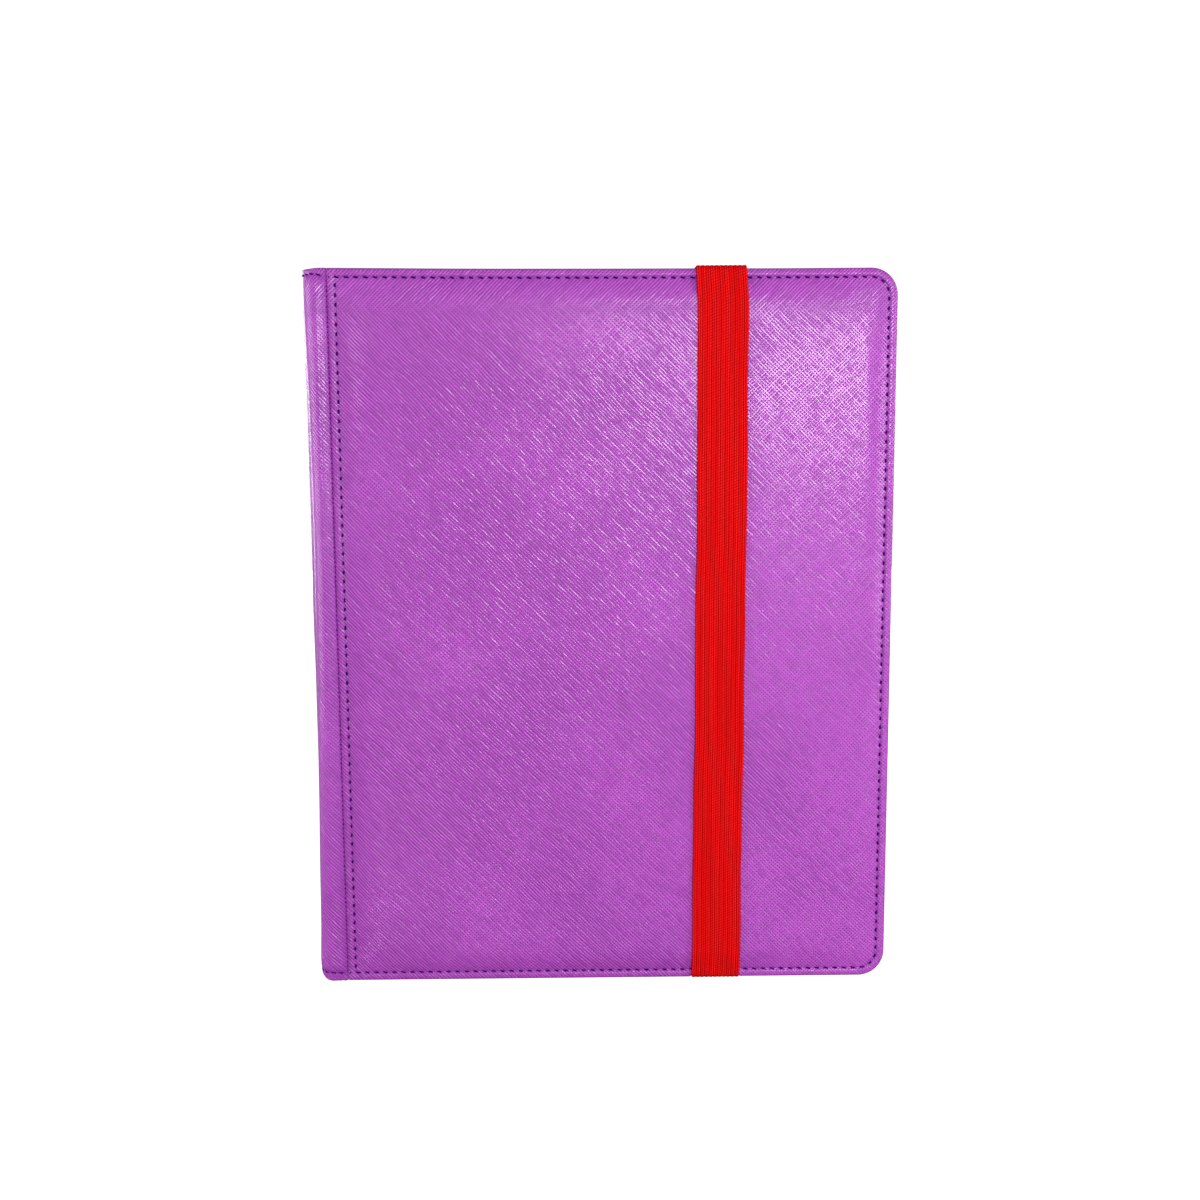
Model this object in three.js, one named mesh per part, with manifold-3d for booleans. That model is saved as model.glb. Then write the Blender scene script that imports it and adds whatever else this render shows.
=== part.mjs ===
// A padded trading card binder: two sewn covers, a rolled spine, pocket leaves and an elastic strap.
// Millimetres, +Z up. The binder stands closed on its bottom edge with the front cover towards -Y.
import * as THREE from "three";
import { mergeVertices } from "three/addons/utils/BufferGeometryUtils.js";
import Module from "manifold-3d";

// Overall size, closed
const WIDTH = 262;
const HEIGHT = 325;
const THICKNESS = 33;
const HALF_WIDTH = WIDTH / 2;
const HALF_THICKNESS = THICKNESS / 2;

// Cover outline
const PANEL_LEFT = -119.2;
const FORE_RADIUS = 12;
const SPINE_SIDE_RADIUS = 1;
const CORNER_STEPS = 8;

// Depths below a cover's padded outer face, and insets from its outline
const RIM_DEPTH = 2.2;
const EDGE_ROUNDING = 0.6;
const RIM_WIDTH = 5.5;
const SLOPE_WIDTH = 4;
const SKIN = 0.8;
const RIM_BACK_DEPTH = 4.85;
const POCKET_INSET = RIM_WIDTH + SKIN;
const CORE_INSET = POCKET_INSET + 0.2;
const FOAM_DEPTHS = [0.9, 2.9];
const BOARD_DEPTHS = [3.05, RIM_BACK_DEPTH];
const LINING_DEPTHS = [5, 5.65];
const LINING_INSET = 2;

// Sewing thread
const THREAD = 0.6;
const THREAD_LIFT = 0.1;
const STRAND_SIDES = 4;
const STITCH_MARGIN = 4;

// Rolled spine
const ROLL_LEATHER = 1.2;
const ROLL_STEPS = 12;
const ROLL_SEAM = { x: -119.5, y: 13.9 };
const ROLL_SEAM_PULL = { x: -122.8, y: 18.4 };
const ROLL_SPINE_PULL_Y = 16.2;
const SPINE_SKIN_HALF = 6.9;
const PIECE_GAP = 0.3;
const SPINE_END_MARGIN = 6;
const SPINE_SKIN = { from: -HALF_WIDTH, to: -HALF_WIDTH + ROLL_LEATHER, half: SPINE_SKIN_HALF };
const SPINE_FOAM = { from: -129.6, to: -128.1, half: 6.8 };
const SPINE_BOARD = { from: -127.9, to: -126.1, half: 9 };
const SPINE_LINING = { from: -125.9, to: -125.3, half: 13, endMargin: 3 };

// Pocket leaves and their binding
const LEAF_COUNT = 20;
const LEAF_PITCH = 1.05;
const LEAF_ROOT_X = -122;
const LEAF_WIDTH = 240;
const LEAF_HEIGHT = 302;
const LEAF_THICKNESS = 0.75;
const HEM_THICKNESS = 0.3;
const HEM_WIDTH = 8;
const HEM_TAPER = 1;
const BINDING = { from: -125.1, to: -122.4, half: 10.6, height: 300 };
const BINDING_FLANGE = { thickness: 0.6, half: 12.8, stitchY: 11.8, threadMargin: 2 };

// Elastic strap
const STRAP_WIDTH = 23;
const STRAP_THICKNESS = 1.2;
const STRAP_X = 53.7;
const STRAP_GAP = 0.3;
const STRAP_BEND = 3;
const STRAP_BEND_STEPS = 6;
const STRAP_SLOT_CLEARANCE = 0.3;
const TAIL_THICKNESS = 1;
const TAIL_LENGTH = 6;
const STRAP_STAND = STRAP_GAP + STRAP_THICKNESS;

const wasm = await Module();
wasm.setup();

const binder = new THREE.Group();
// The strap stands in front of the front cover, so the covers sit back by half of that.
binder.position.y = STRAP_STAND / 2;

const materials = {
  leather: { color: 0xa552b8, roughness: 0.5, metalness: 0 },
  thread: { color: 0x5a1480, roughness: 0.8, metalness: 0 },
  foam: { color: 0xe8e4d8, roughness: 0.95, metalness: 0 },
  board: { color: 0x9a9484, roughness: 0.9, metalness: 0 },
  lining: { color: 0x1c1b1f, roughness: 0.85, metalness: 0 },
  leaf: { color: 0x2b2b30, roughness: 0.25, metalness: 0 },
  elastic: { color: 0xdc1414, roughness: 0.75, metalness: 0 },
};

function addPart(name, geometry, materialName) {
  const mesh = new THREE.Mesh(geometry, new THREE.MeshStandardMaterial(materials[materialName]));
  mesh.name = name;
  binder.add(mesh);
}

// A closed surface, turned inside out if its faces point inwards.
function faceOutward(geometry) {
  const place = geometry.getAttribute("position");
  const index = geometry.getIndex();
  const corners = [new THREE.Vector3(), new THREE.Vector3(), new THREE.Vector3()];
  let volume = 0;
  for (let i = 0; i < index.count; i += 3) {
    corners.forEach((corner, k) => corner.fromBufferAttribute(place, index.getX(i + k)));
    volume += corners[0].dot(corners[1].clone().cross(corners[2]));
  }
  if (volume < 0) {
    index.array.reverse();
  }
  return geometry;
}

function closedGeometry(vertices, triangles) {
  const geometry = new THREE.BufferGeometry();
  geometry.setAttribute("position", new THREE.Float32BufferAttribute(vertices, 3));
  geometry.setIndex(triangles);
  return faceOutward(geometry);
}

function toSolid(geometry) {
  const bare = geometry.clone();
  bare.deleteAttribute("normal");
  bare.deleteAttribute("uv");
  const merged = mergeVertices(bare, 1e-4);
  return new wasm.Manifold(
    new wasm.Mesh({
      numProp: 3,
      vertProperties: new Float32Array(merged.getAttribute("position").array),
      triVerts: new Uint32Array(merged.getIndex().array),
    }),
  );
}

function cutFrom(geometry, cutters) {
  let solid = toSolid(geometry);
  for (const cutter of cutters) {
    solid = solid.subtract(toSolid(cutter));
  }
  const mesh = solid.getMesh();
  return closedGeometry(Array.from(mesh.vertProperties), Array.from(mesh.triVerts));
}

function box(fromX, toX, fromY, toY, fromZ, toZ) {
  const geometry = new THREE.BoxGeometry(toX - fromX, toY - fromY, toZ - fromZ);
  geometry.translate((fromX + toX) / 2, (fromY + toY) / 2, (fromZ + toZ) / 2);
  return geometry;
}

// The outline of a cover, pulled in by an inset, as points in X and Z.
function coverOutline(inset) {
  const spineRadius = Math.max(SPINE_SIDE_RADIUS - inset, SPINE_SIDE_RADIUS / 2);
  const foreRadius = Math.max(FORE_RADIUS - inset, SPINE_SIDE_RADIUS);
  const left = PANEL_LEFT + inset;
  const right = HALF_WIDTH - inset;
  const corners = [
    { x: right - foreRadius, z: inset + foreRadius, radius: foreRadius, start: -Math.PI / 2 },
    { x: right - foreRadius, z: HEIGHT - inset - foreRadius, radius: foreRadius, start: 0 },
    { x: left + spineRadius, z: HEIGHT - inset - spineRadius, radius: spineRadius, start: Math.PI / 2 },
    { x: left + spineRadius, z: inset + spineRadius, radius: spineRadius, start: Math.PI },
  ];
  const points = [];
  for (const corner of corners) {
    for (let step = 0; step <= CORNER_STEPS; step++) {
      const angle = corner.start + (step / CORNER_STEPS) * (Math.PI / 2);
      const x = corner.x + corner.radius * Math.cos(angle);
      const z = corner.z + corner.radius * Math.sin(angle);
      points.push(new THREE.Vector2(x, z));
    }
  }
  return points;
}

// A closed solid through cover outlines at several depths. side is -1 on the front cover and 1 on the back.
function coverLoft(side, levels) {
  const vertices = [];
  const triangles = [];
  const rings = levels.map(([inset]) => coverOutline(inset));
  const count = rings[0].length;
  rings.forEach((ring, level) => {
    const y = side * (HALF_THICKNESS - levels[level][1]);
    ring.forEach((point) => vertices.push(point.x, y, point.y));
  });
  for (let level = 0; level + 1 < rings.length; level++) {
    for (let k = 0; k < count; k++) {
      const here = level * count + k;
      const next = level * count + ((k + 1) % count);
      triangles.push(here, next, next + count, here, next + count, here + count);
    }
  }
  const last = (rings.length - 1) * count;
  for (const [a, b, c] of THREE.ShapeUtils.triangulateShape(rings[0], [])) {
    triangles.push(a, c, b);
  }
  for (const [a, b, c] of THREE.ShapeUtils.triangulateShape(rings[rings.length - 1], [])) {
    triangles.push(last + a, last + b, last + c);
  }
  return closedGeometry(vertices, triangles);
}

// A solid with one plan outline all the way up.
function upright(planPoints, fromZ, toZ) {
  const shape = new THREE.Shape(planPoints);
  const geometry = new THREE.ExtrudeGeometry(shape, { depth: toZ - fromZ, bevelEnabled: false });
  geometry.translate(0, 0, fromZ);
  return geometry;
}

// The soft bottom edge gives way under the strap, so both covers have a shallow recess there.
function strapRecess() {
  const half = STRAP_WIDTH / 2 + STRAP_SLOT_CLEARANCE;
  return box(STRAP_X - half, STRAP_X + half, -THICKNESS, THICKNESS, -1, STRAP_STAND);
}

// The gap in a rim where a tail of the strap is sewn in.
function tailSlot(fromZ, toZ) {
  const half = STRAP_WIDTH / 2 + STRAP_SLOT_CLEARANCE;
  const inner = HALF_THICKNESS - RIM_BACK_DEPTH - STRAP_SLOT_CLEARANCE;
  const outer = inner + TAIL_THICKNESS + 2 * STRAP_SLOT_CLEARANCE;
  return box(STRAP_X - half, STRAP_X + half, inner, outer, fromZ, toZ);
}

function coverSkin(side) {
  const outside = coverLoft(side, [
    [0, RIM_BACK_DEPTH],
    [0, RIM_DEPTH + EDGE_ROUNDING],
    [EDGE_ROUNDING, RIM_DEPTH],
    [RIM_WIDTH, RIM_DEPTH],
    [RIM_WIDTH + SLOPE_WIDTH, 0],
  ]);
  const pocket = coverLoft(side, [
    [POCKET_INSET, RIM_BACK_DEPTH + 1],
    [POCKET_INSET, RIM_DEPTH + SKIN],
    [POCKET_INSET + SLOPE_WIDTH, SKIN],
  ]);
  const cutters = [pocket, strapRecess()];
  if (side > 0) {
    cutters.push(tailSlot(HEIGHT - TAIL_LENGTH - 1, HEIGHT + 1));
    cutters.push(tailSlot(-1, TAIL_LENGTH + 1));
  }
  return cutFrom(outside, cutters);
}

function coverFoam(side) {
  return coverLoft(side, [
    [CORE_INSET, FOAM_DEPTHS[1]],
    [CORE_INSET + SLOPE_WIDTH, FOAM_DEPTHS[0]],
  ]);
}

function coverBoard(side) {
  return coverLoft(side, [
    [CORE_INSET, BOARD_DEPTHS[1]],
    [CORE_INSET, BOARD_DEPTHS[0]],
  ]);
}

function coverLining(side) {
  return coverLoft(side, [
    [LINING_INSET, LINING_DEPTHS[1]],
    [LINING_INSET, LINING_DEPTHS[0]],
  ]);
}

// One thread along the bottom, fore and top edges, as a square strand that is open on the spine side.
function edgeThread(side) {
  const inner = coverOutline(STITCH_MARGIN + THREAD / 2);
  const outer = coverOutline(STITCH_MARGIN - THREAD / 2);
  const cornerPoints = CORNER_STEPS + 1;
  // From the end of the lower spine corner, through both fore corners, to the upper spine corner
  const start = inner.length - 1;
  const order = [];
  for (let k = 0; k <= 2 * cornerPoints + 1; k++) {
    order.push((start + k) % inner.length);
  }
  const nearFace = side * (HALF_THICKNESS - RIM_DEPTH + THREAD_LIFT);
  const farFace = side * (HALF_THICKNESS - RIM_DEPTH + THREAD_LIFT + THREAD);
  const vertices = [];
  const triangles = [];
  for (const k of order) {
    vertices.push(inner[k].x, nearFace, inner[k].y, outer[k].x, nearFace, outer[k].y);
    vertices.push(outer[k].x, farFace, outer[k].y, inner[k].x, farFace, inner[k].y);
  }
  for (let ring = 0; ring + 1 < order.length; ring++) {
    for (let k = 0; k < STRAND_SIDES; k++) {
      const here = ring * STRAND_SIDES + k;
      const next = ring * STRAND_SIDES + ((k + 1) % STRAND_SIDES);
      triangles.push(here, next, next + STRAND_SIDES, here, next + STRAND_SIDES, here + STRAND_SIDES);
    }
  }
  const last = (order.length - 1) * STRAND_SIDES;
  triangles.push(0, 2, 1, 0, 3, 2);
  triangles.push(last, last + 1, last + 2, last, last + 2, last + 3);
  return closedGeometry(vertices, triangles);
}

// The topstitch that holds the folded edge of a cover panel down on the spine leather.
function hingeThread(side) {
  const x = PANEL_LEFT + STITCH_MARGIN;
  const face = HALF_THICKNESS - RIM_DEPTH + THREAD_LIFT;
  const from = Math.min(side * face, side * (face + THREAD));
  const end = STITCH_MARGIN + THREAD;
  return box(x - THREAD / 2, x + THREAD / 2, from, from + THREAD, end, HEIGHT - end);
}

// The leather between a cover's seam and the flat of the spine, in plan: a soft roll.
function rollLeather(side) {
  const curve = new THREE.CubicBezierCurve(
    new THREE.Vector2(ROLL_SEAM.x, side * ROLL_SEAM.y),
    new THREE.Vector2(ROLL_SEAM_PULL.x, side * ROLL_SEAM_PULL.y),
    new THREE.Vector2(-HALF_WIDTH, side * ROLL_SPINE_PULL_Y),
    new THREE.Vector2(-HALF_WIDTH, side * (SPINE_SKIN_HALF + PIECE_GAP)),
  );
  const outer = curve.getSpacedPoints(ROLL_STEPS);
  const inner = outer.map((point, k) => {
    const tangent = curve.getTangentAt(k / ROLL_STEPS);
    const inward = new THREE.Vector2(-tangent.y, tangent.x).multiplyScalar(side * ROLL_LEATHER);
    return point.clone().add(inward);
  });
  return upright([...outer, ...inner.reverse()], 0, HEIGHT);
}

function spineSlab(layer, endMargin) {
  return box(layer.from, layer.to, -layer.half, layer.half, endMargin, HEIGHT - endMargin);
}

// The strip that the leaves are bound in, with a thin flange on each side that is sewn to the spine.
function pageBinding() {
  const flangeX = BINDING.from + BINDING_FLANGE.thickness;
  const plan = [
    new THREE.Vector2(BINDING.from, -BINDING_FLANGE.half),
    new THREE.Vector2(flangeX, -BINDING_FLANGE.half),
    new THREE.Vector2(flangeX, -BINDING.half),
    new THREE.Vector2(BINDING.to, -BINDING.half),
    new THREE.Vector2(BINDING.to, BINDING.half),
    new THREE.Vector2(flangeX, BINDING.half),
    new THREE.Vector2(flangeX, BINDING_FLANGE.half),
    new THREE.Vector2(BINDING.from, BINDING_FLANGE.half),
  ];
  const low = (HEIGHT - BINDING.height) / 2;
  return upright(plan, low, low + BINDING.height);
}

function bindingThread(side) {
  const x = BINDING.from + BINDING_FLANGE.thickness + THREAD_LIFT;
  const y = side * BINDING_FLANGE.stitchY;
  const end = (HEIGHT - BINDING.height) / 2 + BINDING_FLANGE.threadMargin;
  return box(x, x + THREAD, y - THREAD / 2, y + THREAD / 2, end, HEIGHT - end);
}

// A pocket leaf: a thin hem at the binding, then the card pockets, empty.
function pocketLeaf(y) {
  const hem = HEM_THICKNESS / 2;
  const body = LEAF_THICKNESS / 2;
  const hemEnd = LEAF_ROOT_X + HEM_WIDTH;
  const bodyStart = hemEnd + HEM_TAPER;
  const foreEdge = LEAF_ROOT_X + LEAF_WIDTH;
  const plan = [
    new THREE.Vector2(LEAF_ROOT_X, y - hem),
    new THREE.Vector2(hemEnd, y - hem),
    new THREE.Vector2(bodyStart, y - body),
    new THREE.Vector2(foreEdge, y - body),
    new THREE.Vector2(foreEdge, y + body),
    new THREE.Vector2(bodyStart, y + body),
    new THREE.Vector2(hemEnd, y + hem),
    new THREE.Vector2(LEAF_ROOT_X, y + hem),
  ];
  const low = (HEIGHT - LEAF_HEIGHT) / 2;
  return upright(plan, low, low + LEAF_HEIGHT);
}

// A quarter turn of the strap, as points in Y and Z.
function bend(centreY, centreZ, radius, start, turn) {
  const points = [];
  for (let step = 0; step <= STRAP_BEND_STEPS; step++) {
    const angle = start + (turn * step) / STRAP_BEND_STEPS;
    points.push(new THREE.Vector2(centreY + radius * Math.cos(angle), centreZ + radius * Math.sin(angle)));
  }
  return points;
}

// The strap over the front cover and its two wraps, as a side profile drawn across the strap's width.
function elasticStrap() {
  const frontY = -HALF_THICKNESS - STRAP_STAND;
  const topZ = HEIGHT + STRAP_STAND;
  const rearY = HALF_THICKNESS - RIM_BACK_DEPTH - PIECE_GAP;
  const centreY = frontY + STRAP_BEND;
  const quarter = Math.PI / 2;
  const innerBend = STRAP_BEND - STRAP_THICKNESS;
  const profile = [
    new THREE.Vector2(rearY, topZ),
    ...bend(centreY, topZ - STRAP_BEND, STRAP_BEND, quarter, quarter),
    ...bend(centreY, STRAP_BEND, STRAP_BEND, 2 * quarter, quarter),
    new THREE.Vector2(rearY, 0),
    new THREE.Vector2(rearY, STRAP_THICKNESS),
    ...bend(centreY, STRAP_BEND, innerBend, 3 * quarter, -quarter),
    ...bend(centreY, topZ - STRAP_BEND, innerBend, 2 * quarter, -quarter),
    new THREE.Vector2(rearY, topZ - STRAP_THICKNESS),
  ];
  const shape = new THREE.Shape(profile);
  const geometry = new THREE.ExtrudeGeometry(shape, { depth: STRAP_WIDTH, bevelEnabled: false });
  // Profile axes are Y and Z, and the extrusion runs along X.
  const turn = new THREE.Matrix4().makeBasis(
    new THREE.Vector3(0, 1, 0),
    new THREE.Vector3(0, 0, 1),
    new THREE.Vector3(1, 0, 0),
  );
  geometry.applyMatrix4(turn);
  geometry.translate(STRAP_X - STRAP_WIDTH / 2, 0, 0);
  return geometry;
}

function strapTail(fromZ, toZ) {
  const inner = HALF_THICKNESS - RIM_BACK_DEPTH;
  const half = STRAP_WIDTH / 2;
  return box(STRAP_X - half, STRAP_X + half, inner, inner + TAIL_THICKNESS, fromZ, toZ);
}

for (const [cover, side] of [["front", -1], ["back", 1]]) {
  addPart(`${cover}_skin`, coverSkin(side), "leather");
  addPart(`${cover}_foam`, coverFoam(side), "foam");
  addPart(`${cover}_board`, coverBoard(side), "board");
  addPart(`${cover}_lining`, coverLining(side), "lining");
  addPart(`${cover}_edge_stitching`, edgeThread(side), "thread");
  addPart(`${cover}_hinge_stitching`, hingeThread(side), "thread");
  addPart(`${cover}_hinge`, rollLeather(side), "leather");
  addPart(`binding_stitching_${cover}`, bindingThread(side), "thread");
}

addPart("spine_skin", spineSlab(SPINE_SKIN, 0), "leather");
addPart("spine_foam", spineSlab(SPINE_FOAM, SPINE_END_MARGIN), "foam");
addPart("spine_board", spineSlab(SPINE_BOARD, SPINE_END_MARGIN), "board");
addPart("spine_lining", spineSlab(SPINE_LINING, SPINE_LINING.endMargin), "lining");
addPart("page_binding", pageBinding(), "lining");

for (let k = 0; k < LEAF_COUNT; k++) {
  const y = (k - (LEAF_COUNT - 1) / 2) * LEAF_PITCH;
  addPart(`leaf_${String(k + 1).padStart(2, "0")}`, pocketLeaf(y), "leaf");
}

addPart("elastic_strap", elasticStrap(), "elastic");
addPart("strap_tail_top", strapTail(HEIGHT - TAIL_LENGTH, HEIGHT + STRAP_STAND), "elastic");
addPart("strap_tail_bottom", strapTail(0, TAIL_LENGTH), "elastic");

export default binder;
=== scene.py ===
"""Looks of the trading card binder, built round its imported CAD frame. Shapes are in millimetres."""

import math

import bpy
import bmesh
import numpy as np
from mathutils import Matrix, Vector, geometry


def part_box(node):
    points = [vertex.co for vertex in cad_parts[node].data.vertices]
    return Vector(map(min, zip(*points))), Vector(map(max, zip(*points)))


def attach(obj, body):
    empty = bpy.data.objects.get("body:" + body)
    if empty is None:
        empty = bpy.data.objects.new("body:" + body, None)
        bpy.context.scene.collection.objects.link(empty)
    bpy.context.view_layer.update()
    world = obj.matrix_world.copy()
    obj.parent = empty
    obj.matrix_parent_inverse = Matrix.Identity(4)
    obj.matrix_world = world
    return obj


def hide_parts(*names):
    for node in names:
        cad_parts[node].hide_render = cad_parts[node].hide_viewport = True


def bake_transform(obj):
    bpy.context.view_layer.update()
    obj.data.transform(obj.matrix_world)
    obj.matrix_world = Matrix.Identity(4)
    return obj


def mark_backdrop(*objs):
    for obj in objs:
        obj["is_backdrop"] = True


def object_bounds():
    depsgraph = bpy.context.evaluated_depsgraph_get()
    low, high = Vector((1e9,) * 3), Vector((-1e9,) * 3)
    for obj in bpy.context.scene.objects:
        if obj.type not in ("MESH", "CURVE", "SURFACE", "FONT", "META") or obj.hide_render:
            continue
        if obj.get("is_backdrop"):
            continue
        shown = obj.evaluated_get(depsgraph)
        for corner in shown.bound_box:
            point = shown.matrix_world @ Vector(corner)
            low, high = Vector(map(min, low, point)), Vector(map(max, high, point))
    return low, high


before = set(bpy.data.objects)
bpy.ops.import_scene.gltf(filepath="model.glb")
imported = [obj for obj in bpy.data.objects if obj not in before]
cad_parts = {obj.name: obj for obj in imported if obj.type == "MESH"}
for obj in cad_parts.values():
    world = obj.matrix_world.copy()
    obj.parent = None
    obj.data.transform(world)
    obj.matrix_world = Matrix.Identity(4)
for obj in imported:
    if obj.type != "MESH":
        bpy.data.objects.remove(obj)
cad_low, cad_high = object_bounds()

MM = 1000.0
FRONT, BACK = -1, 1


def box_mm(node):
    low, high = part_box(node)
    return np.array(low) * MM, np.array(high) * MM


# Sizes that the frame gives
FRONT_LOW, FRONT_HIGH = box_mm("front_skin")
BACK_HIGH = box_mm("back_skin")[1]
STRAP_LOW, STRAP_HIGH = box_mm("elastic_strap")
LINING_LOW, LINING_HIGH = box_mm("front_lining")
FOAM_HIGH = box_mm("front_foam")[1]
LEFT, RIGHT = FRONT_LOW[0], FRONT_HIGH[0]
HEIGHT = FRONT_HIGH[2]
MIDDLE_Y = (FRONT_LOW[1] + BACK_HIGH[1]) / 2
HALF_THICKNESS = (BACK_HIGH[1] - FRONT_LOW[1]) / 2
PANEL_DEPTH = FRONT_HIGH[1] - FRONT_LOW[1]
LINING_DEPTHS = (LINING_LOW[1] - FRONT_LOW[1], LINING_HIGH[1] - FRONT_LOW[1])
LINING_INSET = LINING_LOW[0] - LEFT
SPINE_X = box_mm("spine_skin")[0][0]
STRAP_X = (STRAP_LOW[0] + STRAP_HIGH[0]) / 2
STRAP_HALF = (STRAP_HIGH[0] - STRAP_LOW[0]) / 2

# Cover outline, with how fast its corners tighten inside the seam
FORE_RADIUS = 12.0
HINGE_RADIUS = 1.0
FORE_TIGHTEN = 0.55
HINGE_WIDEN = 0.8
MIN_RADIUS = 0.1
FORE_STEPS = 18
HINGE_STEPS = 4
GRID_STEP = 1.05

# Sewn edge of a cover, as insets from its outline and depths below its padded face
STITCH_INSET = 4.0
SEAM_DEPTH = 2.75
PAD_INSET = 14.0
PAD_REACH = 11.0
LEATHER = 0.7
EDGE_RADIUS = 1.3
# Sag of the top edge in mm, against the share of the cover's width
TOP_SAG = ((0, 0.1, 0.2, 0.3, 0.4, 0.5, 0.6, 0.7, 0.8, 0.9, 1),
           (-0.35, -0.1, 0.2, 0.4, 0.52, 0.62, 0.68, 0.78, 0.85, 0.82, 0.75))
PUCKER = 0.15
RIM_INSETS = (1.8, 2.3, 2.8, 3.2, 3.5, 3.75)
RIM_DEPTHS = (2.2, 2.13, 2.13, 2.27, 2.5, 2.68)
PAD_INSETS = (4.25, 4.6, 5.0, 5.5, 6.1, 6.8, 7.6, 8.5, 9.5, 10.6, 11.8, 13.0, PAD_INSET)
STITCH_PITCH = 4.2
STITCH_LENGTH = 2.35
STITCH_SIDES = 6
SPINE_STITCH_START = 6.2
LINING_SEAM = 0.22

# Cloth that gives the padding its rounding
CLOTH_CELLS = (48, 64)
CLOTH_FRAMES = 20
CLOTH_PRESSURE = 4

# Leather grain, darker in the grooves and lighter on the ridges: partly the grain's own tone, partly painted
# shade and painted light
GRAIN_PITCH = 1.2
GRAIN_GROOVE_AND_SHADE = (0.225, 0.021, 0.290)
GRAIN_RIDGE_AND_LIGHT = (0.560, 0.104, 0.640)

# Spine roll in plan: x from the cover's edge, and distance from the middle of the thickness
ROLL_SEAM = (0.15, 14.0)
ROLL_BULGE = (-2.1, 17.9)
ROLL_SHOULDER = 17.2
ROLL_FLAT = 7.2
ROLL_TUCK = ((1.3, 11.5), (0.8, 11.9), (0.45, 12.5), (0.32, 13.3))
ROLL_THICKNESS = 1.1
ROLL_FOLD = 1.2
CORNER_RADIUS = 3.6
LOW_SEAM = 4.5
HIGH_SEAM = 3.8
# How far the roll is drawn in, against the height
WAIST = ((0, 6, 12, 23, 55, 92, 129, 165, 202, 239, 275, 312, 325),
         (-1.2, -1.2, -1.0, -0.65, -0.1, 0.35, 1.25, 1.9, 2.0, 1.95, 1.55, 1.0, 0.8))

# Pocket leaves
WELD = 1.6
SHEET_HALF = 0.26
HEM_HALF = 0.09
LEAF_CORNER = 3.0
HEM = 9
LEAVES = 20

# Strap, with the lean of its centre line against the height
STRAP_LEAN = ((0, 60, 120, 190, 250, 290, 310, HEIGHT), (-1.6, -1.05, -0.5, 0, 0.3, 0.45, 0.3, -0.4))
STRAP_DENT = 0.15
STRAP_BASE = 0.42
STRAP_RIB = 0.24
STRAP_RIBS = 11
STRAP_NARROW = 0.965
STRAP_RECESS = 1.35


# ---- small helpers

def unit(vectors):
    return vectors / np.linalg.norm(vectors, axis=-1, keepdims=True)


def columns_of(*parts):
    return np.stack(parts, -1)


def smooth_step(value, low, high):
    t = np.clip((np.asarray(value, float) - low) / (high - low), 0, 1)
    return t * t * (3 - 2 * t)


def new_mesh(name, vertices, faces, materials=()):
    """A mesh from points in millimetres."""
    mesh = bpy.data.meshes.new(name)
    points = (np.asarray(vertices, float) / MM).tolist()
    mesh.from_pydata(points, [], [tuple(int(i) for i in face) for face in faces])
    for material in materials:
        mesh.materials.append(material)
    return mesh


def new_object(name, data):
    obj = bpy.data.objects.new(name, data)
    bpy.context.scene.collection.objects.link(obj)
    return obj


def shade(mesh, crease_angle):
    """Smooth shading with crisp creases."""
    mesh.polygons.foreach_set("use_smooth", np.ones(len(mesh.polygons), bool))
    mesh.set_sharp_from_angle(angle=math.radians(crease_angle))


def new_piece(name, vertices, faces, materials, face_materials=None, attributes=None, crease_angle=50):
    """A closed piece from points in millimetres, with its faces turned outwards."""
    mesh = new_mesh(name, vertices, faces, materials)
    if face_materials is not None:
        mesh.polygons.foreach_set("material_index", np.asarray(face_materials, np.int32))
    for key, values in (attributes or {}).items():
        values = np.asarray(values, np.float32)
        if values.ndim == 2:
            mesh.attributes.new(key, "FLOAT_VECTOR", "POINT").data.foreach_set("vector", values.ravel())
        else:
            mesh.attributes.new(key, "FLOAT", "POINT").data.foreach_set("value", values)
    work = bmesh.new()
    work.from_mesh(mesh)
    bmesh.ops.recalc_face_normals(work, faces=work.faces)
    work.to_mesh(mesh)
    work.free()
    shade(mesh, crease_angle)
    return new_object(name, mesh)


def band(first, second, closed=True):
    """Quads between two rows of vertex numbers."""
    count = len(first)
    return [(first[i], first[(i + 1) % count], second[(i + 1) % count], second[i])
            for i in range(count if closed else count - 1)]


def polyline_lengths(points):
    return np.concatenate([[0], np.cumsum(np.linalg.norm(np.diff(points, axis=0), axis=1))])


def rounded_path(corners, step):
    """A line through corners given as (a, b, radius), rounded there and sampled about every step."""
    points = [np.array(corners[0][:2], float)]
    for before, here, after in zip(corners, corners[1:], corners[2:]):
        p, q, r = (np.array(c[:2], float) for c in (before, here, after))
        into, out = unit(q - p), unit(r - q)
        turn = math.acos(max(-1.0, min(1.0, float(into @ out))))
        reach = here[2] * math.tan(turn / 2)
        normal = unit(out - into @ out * into)
        centre = q - into * reach + normal * here[2]
        count = max(3, int(here[2] * turn / step) + 2)
        for k in range(count + 1):
            angle = turn * k / count
            points.append(centre - normal * here[2] * math.cos(angle) + into * here[2] * math.sin(angle))
    points.append(np.array(corners[-1][:2], float))
    filled = [points[0]]
    for p, q in zip(points, points[1:]):
        count = max(1, int(round(np.linalg.norm(q - p) / step)))
        filled.extend(p + (q - p) * k / count for k in range(1, count + 1))
    return np.array(filled)


# ---- shape of the covers

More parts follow.
